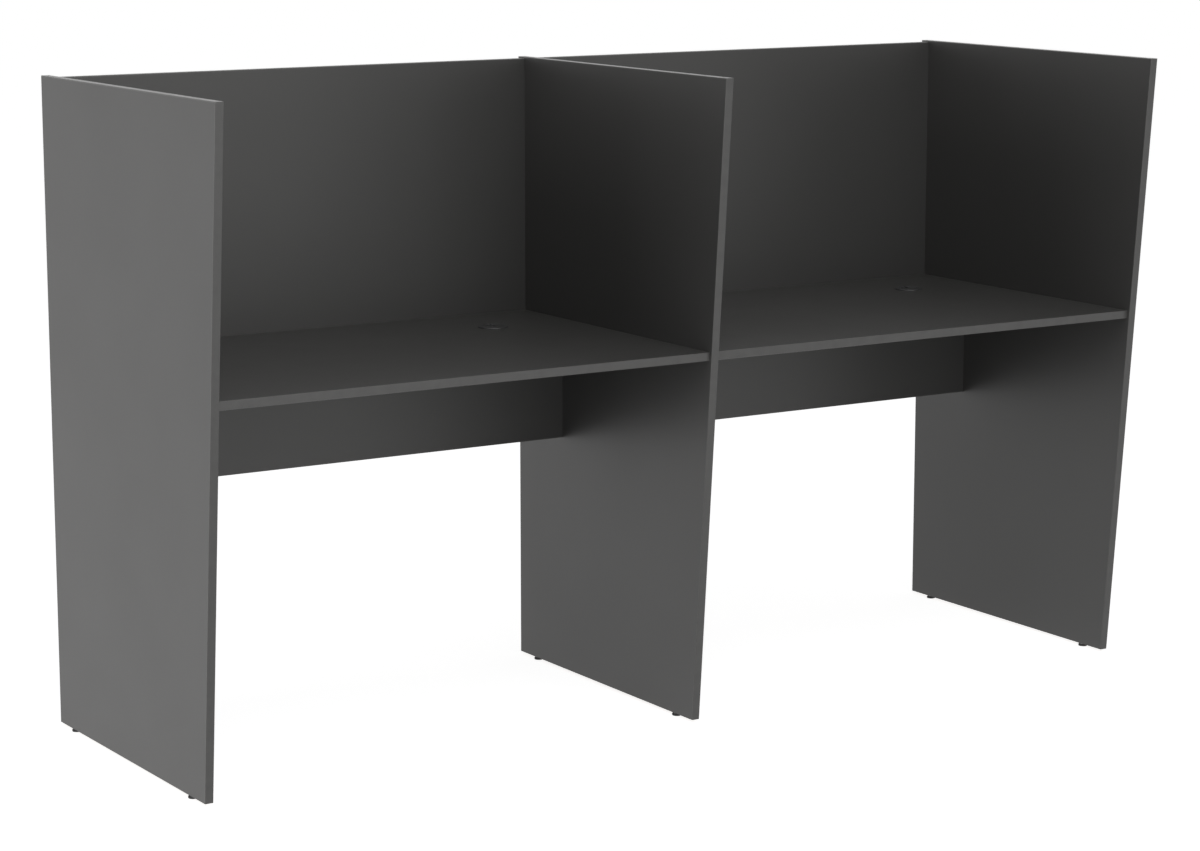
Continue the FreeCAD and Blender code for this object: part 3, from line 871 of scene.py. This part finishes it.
    @staticmethod
    def cut_with(obj: Object, cutter: Object) -> None:
        """Cut one piece out of another with a Boolean modifier and delete the cutter.

        Args:
            obj: the piece that is cut.
            cutter: the piece that is cut out of it.
        """
        Bench.take(obj)
        boolean = obj.modifiers.new("cut", "BOOLEAN")
        boolean.operation = "DIFFERENCE"
        boolean.solver = "EXACT"
        boolean.object = cutter
        bpy.ops.object.modifier_apply(modifier=boolean.name)
        bpy.data.objects.remove(cutter)

    @staticmethod
    def join(pieces: list[Object], name: str) -> Object:
        """Join pieces into one.

        Args:
            pieces: the pieces, all in object mode.
            name: the joined piece's name.

        Returns:
            The joined piece.
        """
        Bench.take(*pieces)
        bpy.ops.object.join()
        joined = bpy.context.object
        joined.name = name
        joined.data.name = name
        return joined

    @staticmethod
    def copy(model: Object, name: str, offset: Vector, turn: float = 0.0) -> Object:
        """Copy a model with a mesh of its own and put the copy's place into its mesh.

        Args:
            model: the piece to copy, modelled at the origin.
            name: the copy's name.
            offset: where the copy goes.
            turn: angle in radians that it is turned about X first.

        Returns:
            The copy, with its object at the origin.
        """
        copy = model.copy()
        copy.data = model.data.copy()
        copy.name = name
        copy.data.name = name
        bpy.context.scene.collection.objects.link(copy)
        Bench.take(copy)
        copy.rotation_euler.x = turn
        copy.location = offset
        bpy.ops.object.transform_apply(location=True, rotation=True, scale=True)
        return copy


@dataclass(frozen=True)
class Role:
    """What a new piece stands for: its CAD node, the body that it moves with, its slot and its finish."""

    node: str
    body: str
    slot: Slot
    material: Material

    def give(self, piece: Object) -> None:
        """Dress a piece and put it in the place of the CAD node.

        Args:
            piece: the finished piece.
        """
        dress(piece, self.material)
        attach(piece, self.body)
        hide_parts(self.node)
        LOG.info("built %s in place of %s", piece.name, self.node)


# Sub-assemblies

@dataclass
class Carcass:
    """Boards, edging and hidden fasteners, which keep their CAD shapes and get their finishes."""

    palette: Palette

    def finishes(self) -> Iterator[tuple[str, Material]]:
        """Pair every CAD piece of the carcass with its finish.

        Returns:
            Node names with their materials, one pair at a time.
        """
        for side in Side:
            yield f"{side.value}_side_panel", self.palette.side_board
            for edge in ("front", "top", "rear"):
                yield f"{side.value}_side_{edge}_edging", self.palette.edging
        for bay in Bay:
            yield f"{bay.value}_worktop", self.palette.flat_board
            yield f"{bay.value}_back_panel", self.palette.upright_board
            yield f"{bay.value}_modesty_panel", self.palette.upright_board
            for board in ("worktop", "back", "modesty"):
                yield f"{bay.value}_{board}_edging", self.palette.edging
        yield "cam_locks", self.palette.zinc
        for name in ("cam_bolts", "double_cam_bolts", "back_screws", "foot_sleeves"):
            yield name, self.palette.steel
        for name in ("short_dowels", "long_dowels"):
            yield name, self.palette.beech

    def dress(self) -> None:
        """Give every CAD piece of the carcass its finish."""
        for name, material in self.finishes():
            dress(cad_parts[name], material)
            LOG.info("dressed %s in %s", name, material.name)


@dataclass
class LevellingFoot:
    """A foot's fluted pad and its threaded stem with a hexagon collar.

    Each sole groove is held as two shares of the pad's radius, and the thread's shape as pairs of a share
    of its depth and a share of its pitch. The thread is drawn from its lead, in turns, below the collar's
    middle and trimmed there. The lead is uneven, so that no corner of the thread lies on a trimming plane.
    """

    palette: Palette
    pad_node: str = "left_front_foot_pad"
    stem_node: str = "left_front_foot_stem"
    edge_round: float = 0.8 * MM
    edge_steps: int = 4
    sole_grooves: tuple[tuple[float, float], ...] = ((0.36, 0.43), (0.62, 0.69))
    sole_groove_slope: float = 0.25
    sole_groove_depth: float = 0.5 * MM
    flutes: int = 24
    flute_depth: float = 0.35 * MM
    flute_border: float = 0.12 * MM
    neck_radius: float = 2.5 * MM
    rivet_radius: float = 4.0 * MM
    rivet_height: float = 1.2 * MM
    rivet_chamfer: float = 0.25 * MM
    neck_overlap: float = 0.2 * MM
    socket_play: float = 0.06 * MM
    sole: float = 1.2 * MM
    pitch: float = 1.0 * MM
    thread_depth: float = 0.6 * MM
    thread_shape: tuple[tuple[float, float], ...] = ((0.0, 0.0), (0.0, 0.20), (1.0, 0.48), (1.0, 0.62),
                                                     (0.0, 0.90), (0.0, 1.0))
    thread_lead: float = 1.386
    thread_smooth: float = 30.0
    stem_radius: float = 3.0 * MM
    collar_sides: int = 6
    collar_flats: float = 10.0 * MM
    collar_chamfer: float = 0.3 * MM
    collar_bevel: float = 0.24 * MM
    collar_bevel_steps: int = 2
    collar_height: float = 2.0 * MM
    collar_smooth: float = 25.0
    round_steps: int = 48
    thread_steps: int = 28

    def __post_init__(self) -> None:
        """Take the foot's heights and pad radius from its CAD nodes."""
        low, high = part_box(self.pad_node)
        self.pad_radius = (high.x - low.x) / 2
        self.pad_height = high.z - low.z
        self.stem_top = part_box(self.stem_node)[1].z - low.z
        self.collar_middle = self.pad_height + self.collar_height / 2

    def pad_profile(self) -> Profile:
        """Draw the pad's outline.

        Returns:
            Its points, from the middle of the sole round to the socket's floor.
        """
        radius, height = self.pad_radius, self.pad_height
        corner, depth = self.edge_round, self.sole_groove_depth
        hole = self.neck_radius + self.socket_play
        socket = self.rivet_radius + self.socket_play
        roof = self.sole + self.rivet_height + 2 * self.socket_play
        profile = [(0.0, 0.0)]
        for start, end in self.sole_grooves:
            slope = (end - start) * self.sole_groove_slope
            for share, rise in ((start, 0.0), (start + slope, depth), (end - slope, depth), (end, 0.0)):
                profile.append((share * radius, rise))
        profile += Bench.rounded_corner((radius - corner, corner), corner, DOWN, OUT, self.edge_steps)
        profile += Bench.rounded_corner((radius - corner, height - corner), corner, OUT, UP, self.edge_steps)
        profile += [(hole, height), (hole, roof), (socket, roof), (socket, self.sole), (0.0, self.sole)]
        return profile

    def build_pad(self) -> Object:
        """Model the pad at the origin.

        Returns:
            The pad, turned, with flutes pressed into its rim.
        """
        pad = Bench.turned("pad_model", self.pad_profile(), 2 * self.flutes)
        sector = math.tau / (2 * self.flutes)

        def in_flute(face: Face) -> bool:
            """Test a face of the pad.

            Args:
                face: the face.

            Returns:
                Whether it is every second one of the upright rim.
            """
            centre = face.calc_center_median()
            on_rim = math.hypot(centre.x, centre.y) > self.pad_radius - self.flute_border
            second = math.floor(math.atan2(centre.y, centre.x) % math.tau / sector) % 2 == 0
            return on_rim and second and Bench.is_upright(face)

        Bench.pick(pad, Part.FACE, in_flute)
        bpy.ops.mesh.inset(thickness=self.flute_border, depth=-self.flute_depth, use_individual=True)
        return Bench.close(pad)

    def build_thread(self) -> Object:
        """Model the threaded length at the origin.

        Returns:
            The thread, drawn out by a Screw modifier and trimmed flat at both ends.
        """
        root = self.stem_radius - self.thread_depth
        start = self.collar_middle - self.thread_lead * self.pitch
        profile = [(root + depth * self.thread_depth, start + rise * self.pitch)
                   for depth, rise in self.thread_shape]
        thread = Bench.outline("thread_model", profile)
        bpy.ops.object.mode_set(mode="OBJECT")
        screw = thread.modifiers.new("helix", "SCREW")
        screw.axis = "Z"
        screw.angle = math.tau
        screw.screw_offset = self.pitch
        screw.iterations = math.ceil((self.stem_top - start) / self.pitch) + 1
        screw.steps = self.thread_steps
        screw.render_steps = self.thread_steps
        bpy.ops.object.modifier_apply(modifier=screw.name)
        Bench.open(thread, Part.EDGE)
        bpy.ops.mesh.remove_doubles(threshold=TOUCH)
        for height, upward in ((self.collar_middle, -1.0), (self.stem_top, 1.0)):
            bpy.ops.mesh.select_all(action="SELECT")
            bpy.ops.mesh.bisect(plane_co=(0.0, 0.0, height), plane_no=(0.0, 0.0, upward), clear_outer=True)
        bpy.ops.mesh.select_all(action="SELECT")
        bpy.ops.mesh.fill_holes(sides=0)
        return Bench.close(thread, self.thread_smooth)

    def build_collar(self) -> Object:
        """Model the hexagon collar at the origin.

        Returns:
            The collar, with its ends chamfered.
        """
        half_side = math.pi / self.collar_sides
        radius = self.collar_flats / 2 / math.cos(half_side)
        collar = Bench.bar(self.collar_sides, radius, self.collar_height, (0.0, 0.0, self.collar_middle))
        bpy.ops.transform.rotate(value=half_side, orient_axis="Z", center_override=Bench.ORIGIN)
        Bench.pick(collar, Part.FACE, Bench.is_level)
        bpy.ops.mesh.inset(thickness=self.collar_chamfer)

        def on_rim(edge: Edge) -> bool:
            """Whether an edge is one of those around the two ends."""
            level = abs(edge.verts[0].co.z - edge.verts[1].co.z) < TOUCH
            return level and any(Bench.is_upright(face) for face in edge.link_faces)

        Bench.pick(collar, Part.EDGE, on_rim)
        bpy.ops.mesh.bevel(offset=self.collar_bevel, segments=self.collar_bevel_steps)
        return Bench.close(collar, self.collar_smooth)

    def build_rivet(self) -> Object:
        """Model the rivet in the pad's socket at the origin.

        Returns:
            The rivet's head and neck.
        """
        radius, neck, corner = self.rivet_radius, self.neck_radius, self.rivet_chamfer
        low = self.sole + self.socket_play
        top = self.pad_height + self.neck_overlap
        shoulder = low + self.rivet_height
        profile = [(0.0, low), (radius - corner, low), (radius, low + corner), (radius, shoulder)]
        profile += [(neck, shoulder), (neck, top), (0.0, top)]
        return Bench.close(Bench.turned("rivet_model", profile, self.round_steps))

    def build(self) -> None:
        """Model pad and stem once, and put a copy of each in place of every CAD foot."""
        pad = self.build_pad()
        stem = Bench.join([self.build_thread(), self.build_collar(), self.build_rivet()], "stem_model")
        for side in Side:
            for end in FootEnd:
                foot = f"{side.value}_{end.value}"
                place = middle_at(f"{foot}_foot_pad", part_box(f"{foot}_foot_pad")[0].z)
                pad_role = Role(f"{foot}_foot_pad", f"{foot}_pad", Slot.PAD, self.palette.pad)
                pad_role.give(Bench.copy(pad, f"{foot}_fluted_pad", place))
                stem_role = Role(f"{foot}_foot_stem", f"{foot}_stem", Slot.STEM, self.palette.steel)
                stem_role.give(Bench.copy(stem, f"{foot}_threaded_stem", place))
        bpy.data.objects.remove(pad)
        bpy.data.objects.remove(stem)


@dataclass
class CableGrommet:
    """A bay's grommet: a ring with a rounded flange, and a dished lid with a cable mouth."""

    palette: Palette
    bay: Bay
    flange_round: float = 1.6 * MM
    flange_steps: int = 8
    lip: float = 0.4 * MM
    dish_depth: float = 0.5 * MM
    dish_slope: float = 150.0
    dish_steps: int = 3
    rim_width: float = 3.2 * MM
    lid_thickness: float = 1.5 * MM
    lid_round: float = 0.35 * MM
    lid_steps: int = 4
    skirt_wall: float = 1.6 * MM
    skirt_depth: float = 6.0 * MM
    sleeve_wall: float = 3.0 * MM
    running_clearance: float = 0.06 * MM
    mouth_width: float = 16.0 * MM
    mouth_start: float = 3.0 * MM
    mouth_steps: int = 48
    mouth_round: float = 0.5 * MM
    mouth_round_steps: int = 3
    mouth_round_fullness: float = 0.6
    upper_tilt: float = 50.0
    cutter_margin: float = 2.0 * MM
    rearward: float = 0.001
    level_margin: float = 0.1 * MM
    steps: int = 96

    def __post_init__(self) -> None:
        """Take the ring's and lid's sizes from their CAD nodes."""
        self.ring_node = f"{self.bay.value}_grommet_ring"
        self.lid_node = f"{self.bay.value}_grommet_lid"
        ring_low, ring_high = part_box(self.ring_node)
        lid_low, lid_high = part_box(self.lid_node)
        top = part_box(f"{self.bay.value}_worktop")[1].z
        self.centre = middle_at(self.ring_node, top)
        self.flange_radius = (ring_high.x - ring_low.x) / 2
        self.flange_height = ring_high.z - top
        self.depth = top - ring_low.z
        self.lid_radius = (lid_high.x - lid_low.x) / 2
        self.skirt_radius = self.lid_reach_at(lid_low.z)

    def lid_reach_at(self, height: float) -> float:
        """Measure the CAD lid at one height.

        Args:
            height: where it is measured.

        Returns:
            Greatest distance from the grommet's axis to the lid's corners there.
        """
        points = [vertex.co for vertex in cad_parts[self.lid_node].data.vertices]
        return max((point - self.centre).xy.length for point in points
                   if abs(point.z - height) < self.level_margin)

    def build_ring(self) -> Object:
        """Model the ring at the origin.

        Returns:
            The ring, a sleeve under a rounded flange with a seat for the lid.
        """
        inner = self.skirt_radius + self.running_clearance
        outer = inner + self.sleeve_wall
        seat = self.lid_radius + self.running_clearance
        ledge = self.flange_height - self.lid_thickness
        corner, top, rim = self.flange_round, self.flange_height, self.flange_radius
        profile = [(inner, -self.depth), (outer - self.lip, -self.depth), (outer, -self.depth + self.lip)]
        profile += [(outer, 0.0), (rim - self.lip / 2, 0.0), (rim, self.lip / 2)]
        profile += Bench.rounded_corner((rim - corner, top - corner), corner, OUT, UP, self.flange_steps)
        profile += [(seat + self.lip, top), (seat, top - self.lip), (seat, ledge), (inner, ledge)]
        return Bench.close(Bench.turned("ring_model", profile + profile[:1], self.steps))

    def build_lid(self) -> Object:
        """Model the lid at the origin.

        Returns:
            The lid, a dished disc with a skirt, cut through by its cable mouth.
        """
        top, corner = self.flange_height, self.lid_round
        bottom = top - self.lid_thickness - self.skirt_depth
        under = top - self.lid_thickness + self.running_clearance
        inside = self.skirt_radius - self.skirt_wall
        dish, floor = self.lid_radius - self.rim_width, top - self.dish_depth
        profile = [(0.0, under), (inside, under), (inside, bottom), (self.skirt_radius, bottom)]
        profile += [(self.skirt_radius, under), (self.lid_radius, under)]
        for reach, start, end, steps in ((self.lid_radius - corner, OUT, UP, self.lid_steps),
                                         (dish + corner, UP, self.dish_slope, self.dish_steps)):
            profile += Bench.rounded_corner((reach, top - corner), corner, start, end, steps)
        profile += [(dish - self.dish_depth, floor), (0.0, floor)]
        lid = Bench.close(Bench.turned("lid_model", profile, self.steps))
        Bench.cut_with(lid, self.mouth_cutter(bottom, top))
        steepest = math.cos(math.radians(self.upper_tilt))

        def on_mouth(edge: Edge) -> bool:
            """Test an edge of the lid.

            Args:
                edge: the edge.

            Returns:
                Whether it runs round the mouth on the lid's upper face.
            """
            upper = min(vertex.co.z for vertex in edge.verts) > under + self.lip / 2
            walls = [Bench.is_upright(face) and self.faces_mouth(face) for face in edge.link_faces]
            tops = [face.normal.z > steepest for face in edge.link_faces]
            return upper and any(walls) and any(tops)

        Bench.open(lid)
        Bench.pick(lid, Part.EDGE, on_mouth)
        bpy.ops.mesh.bevel(offset=self.mouth_round, segments=self.mouth_round_steps,
                           profile=self.mouth_round_fullness, clamp_overlap=True)
        return Bench.close(lid)

    def faces_mouth(self, face: Face) -> bool:
        """Test a lid's upright face.

        Args:
            face: the face.

        Returns:
            Whether it looks into the cable mouth.
        """
        centre = face.calc_center_median()
        middle = max(centre.y, self.mouth_start + self.mouth_width / 2)
        inward = Vector((-centre.x, middle - centre.y, 0.0))
        return inward.length < self.mouth_width / 2 + self.lip and face.normal.dot(inward) > 0.0

    def mouth_cutter(self, bottom: float, top: float) -> Object:
        """Model the cutter of the mouth.

        Args:
            bottom: the lid's lowest height.
            top: the lid's highest height.

        Returns:
            The cutter, a round bar drawn out to the rear.
        """
        radius = self.mouth_width / 2
        cutter = Bench.bar(self.mouth_steps, radius, top - bottom + 2 * self.cutter_margin,
                           (0.0, self.mouth_start + radius, (top + bottom) / 2))
        Bench.pick(cutter, Part.FACE, lambda face: face.normal.y > self.rearward and Bench.is_upright(face))
        reach = (0.0, 2 * self.lid_radius, 0.0)
        bpy.ops.mesh.extrude_region_move(TRANSFORM_OT_translate={"value": reach})
        return Bench.close(cutter)

    def build(self) -> None:
        """Model ring and lid, and put each in place of its CAD node."""
        bay = self.bay.value
        for model, name, node, body in (
            (self.build_ring(), f"{bay}_grommet_flange", self.ring_node, "carcass"),
            (self.build_lid(), f"{bay}_grommet_cap", self.lid_node, f"{bay}_lid"),
        ):
            role = Role(node, body, Slot.GROMMET, self.palette.grommet)
            role.give(Bench.copy(model, name, self.centre))
            bpy.data.objects.remove(model)


@dataclass
class CoverCaps:
    """Snap-in caps over the cam locks and the back panels' screws."""

    palette: Palette
    node: str
    piece: str
    bead: float = 0.25 * MM
    bead_reach: float = 60.0
    bead_steps: int = 4
    dimple_depth: float = 0.35 * MM
    dimple_share: float = 0.16
    spigot_length: float = 2.0 * MM
    spigot_share: float = 0.26
    dome_steps: int = 4
    steps: int = 32
    smooth: float = 40.0
    sorting_digits: int = 4

    def __post_init__(self) -> None:
        """Take the caps' sizes and seats from the CAD node, parted into its caps."""
        whole = bpy.data.objects.new("caps_model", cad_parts[self.node].data.copy())
        bpy.context.scene.collection.objects.link(whole)
        Bench.open(whole)
        Bench.merge()
        bpy.ops.mesh.separate(type="LOOSE")
        bpy.ops.object.mode_set(mode="OBJECT")
        self.seats = []
        for cap in list(bpy.context.selected_objects):
            self.seats.append(self.seat_of(cap))
            bpy.data.objects.remove(cap)
        self.seats.sort(key=lambda seat: tuple(round(value, self.sorting_digits) for value in seat[0]))

    def seat_of(self, cap: Object) -> tuple[Vector, Facing]:
        """Take the caps' radius and thickness from one of them, and work out its seat.

        Args:
            cap: one cap of the CAD node.

        Returns:
            The middle of its seat and the way that it looks.
        """
        points = [vertex.co for vertex in cap.data.vertices]
        low = Vector([min(point[axis] for point in points) for axis in range(3)])
        high = Vector([max(point[axis] for point in points) for axis in range(3)])
        size = high - low
        facing = Facing.DOWN if size.z < size.y else Facing.REAR
        self.radius = size.x / 2
        self.thickness = min(size) - self.spigot_length
        return (low + high) / 2 + facing.direction * (min(size) / 2 - self.thickness), facing

    def build_cap(self) -> Object:
        """Model one cap at the origin, looking up.

        Returns:
            The cap, a shallow dome with a beaded rim, a dimple and a spigot.
        """
        radius, height, bead, tip = self.radius, self.thickness, self.bead, -self.spigot_length
        spigot, dimple = self.spigot_share * radius, self.dimple_share * radius
        floor = height - self.dimple_depth
        profile = [(0.0, tip), (spigot - bead, tip), (spigot, tip + bead), (spigot, 0.0)]
        profile += [(radius - bead, 0.0)]
        profile += Bench.rounded_corner((radius - bead, bead), bead, -self.bead_reach, self.bead_reach,
                                        self.bead_steps)
        rim, foot = profile[-1]
        for step in range(1, self.dome_steps + 1):
            angle = math.pi / 2 * step / self.dome_steps
            reach = dimple + (rim - dimple) * math.cos(angle)
            profile.append((reach, foot + (height - foot) * math.sin(angle)))
        profile += [(dimple - bead, floor), (0.0, floor)]
        return Bench.close(Bench.turned("cap_model", profile, self.steps), self.smooth)

    def build(self) -> None:
        """Model a cap once, copy it to every seat and join the copies into one piece."""
        model = self.build_cap()
        copies = [Bench.copy(model, f"cap_{number}", seat, facing.value)
                  for number, (seat, facing) in enumerate(self.seats)]
        bpy.data.objects.remove(model)
        Role(self.node, "carcass", Slot.COVER, self.palette.cover).give(Bench.join(copies, self.piece))


# Studio

@dataclass(frozen=True)
class Lamp:
    """A soft square lamp."""

    name: str
    place: Triple
    target: Triple
    size: float
    power: float

    def hang(self) -> None:
        """Add the lamp to the scene, turned to its target."""
        data = bpy.data.lights.new(self.name, "AREA")
        data.shape = "SQUARE"
        data.size = self.size
        data.energy = self.power
        lamp = bpy.data.objects.new(self.name, data)
        bpy.context.scene.collection.objects.link(lamp)
        lamp.location = self.place
        aim = Vector(self.target) - Vector(self.place)
        lamp.rotation_euler = aim.to_track_quat("-Z", "Y").to_euler()


@dataclass
class Studio:
    """Floor, light and camera."""

    white: Colour = (1.0, 1.0, 1.0)
    floor_size: float = 60.0
    floor_colour: Colour = (0.80, 0.80, 0.80)
    floor_roughness: float = 1.0
    floor_specular: float = 0.0
    floor_lift: float = 0.88
    key: Lamp = Lamp("key", place=(-5.2, -0.5, 1.2), target=(0.0, 0.0, 0.6), size=2.4, power=54.0)
    fill: Lamp = Lamp("fill", place=(0.0, -6.2, 0.8), target=(0.0, 0.0, 0.5), size=4.0, power=62.0)
    top: Lamp = Lamp("top", place=(-0.6, -2.4, 4.0), target=(0.0, 0.0, 0.7), size=3.0, power=36.0)
    ambient: float = 0.15
    camera_place: Triple = (-3.303, -5.143, 1.637)
    camera_yaw: float = 32.34
    camera_pitch: float = 10.24
    camera_lens: float = 96.11
    camera_sensor: float = 36.0

    @staticmethod
    def seen_directly(sheet: NodeSheet) -> Socket:
        """Tell rays that show the surroundings from those that light the object.

        Args:
            sheet: the node sheet of the floor or the world.

        Returns:
            1 where a ray comes from the camera, a reflection or through glass, and 0 elsewhere.
        """
        path = sheet.add("ShaderNodeLightPath").outputs
        straight = sheet.math("ADD", path["Is Camera Ray"], path["Is Glossy Ray"])
        return sheet.math("ADD", straight, path["Is Transmission Ray"], clamp=True)

    def build_floor(self) -> None:
        """Lay a pale floor that shows white and keeps the object's shadow."""
        Bench.clear()
        bpy.ops.mesh.primitive_plane_add(size=self.floor_size, location=Bench.ORIGIN)
        floor = bpy.context.object
        floor.name = "floor"
        material, sheet, shader = new_material("studio_floor")
        lift = sheet.math("MULTIPLY", self.seen_directly(sheet), self.floor_lift)
        sheet.feed(shader, {"Base Color": rgba(self.floor_colour), "Roughness": self.floor_roughness,
                            "Specular IOR Level": self.floor_specular,
                            "Emission Color": rgba(self.white), "Emission Strength": lift})
        dress(floor, material)

    def build_world(self) -> None:
        """Surround the object with white that lights it softly."""
        world = bpy.data.worlds.new("studio_world")
        world.use_nodes = True
        sheet = NodeSheet(world.node_tree)
        strength = sheet.span(self.seen_directly(sheet), (0.0, 1.0, self.ambient, 1.0))
        sheet.feed(world.node_tree.nodes["Background"], {"Color": rgba(self.white), "Strength": strength})
        bpy.context.scene.world = world

    def build_camera(self) -> None:
        """Place the camera at the photograph's viewing angle."""
        data = bpy.data.cameras.new("camera")
        data.sensor_width = self.camera_sensor
        data.lens = self.camera_lens
        camera = bpy.data.objects.new("camera", data)
        bpy.context.scene.collection.objects.link(camera)
        camera.location = self.camera_place
        tilt = math.pi / 2 - math.radians(self.camera_pitch)
        camera.rotation_euler = (tilt, 0.0, -math.radians(self.camera_yaw))
        bpy.context.scene.camera = camera

    def build(self) -> None:
        """Build the whole studio."""
        self.build_floor()
        self.build_world()
        for lamp in (self.key, self.fill, self.top):
            lamp.hang()
        self.build_camera()
        bpy.context.scene.view_settings.view_transform = "Standard"
        LOG.info("built studio")


def main() -> None:
    """Build and dress every sub-assembly in order."""
    logging.basicConfig(level=logging.INFO)
    palette = Palette()
    Carcass(palette).dress()
    LevellingFoot(palette).build()
    for bay in Bay:
        CableGrommet(palette, bay).build()
    CoverCaps(palette, "cam_covers", "cam_cover_caps").build()
    CoverCaps(palette, "screw_covers", "screw_cover_caps").build()
    Studio().build()


if __name__ == "__main__":
    main()
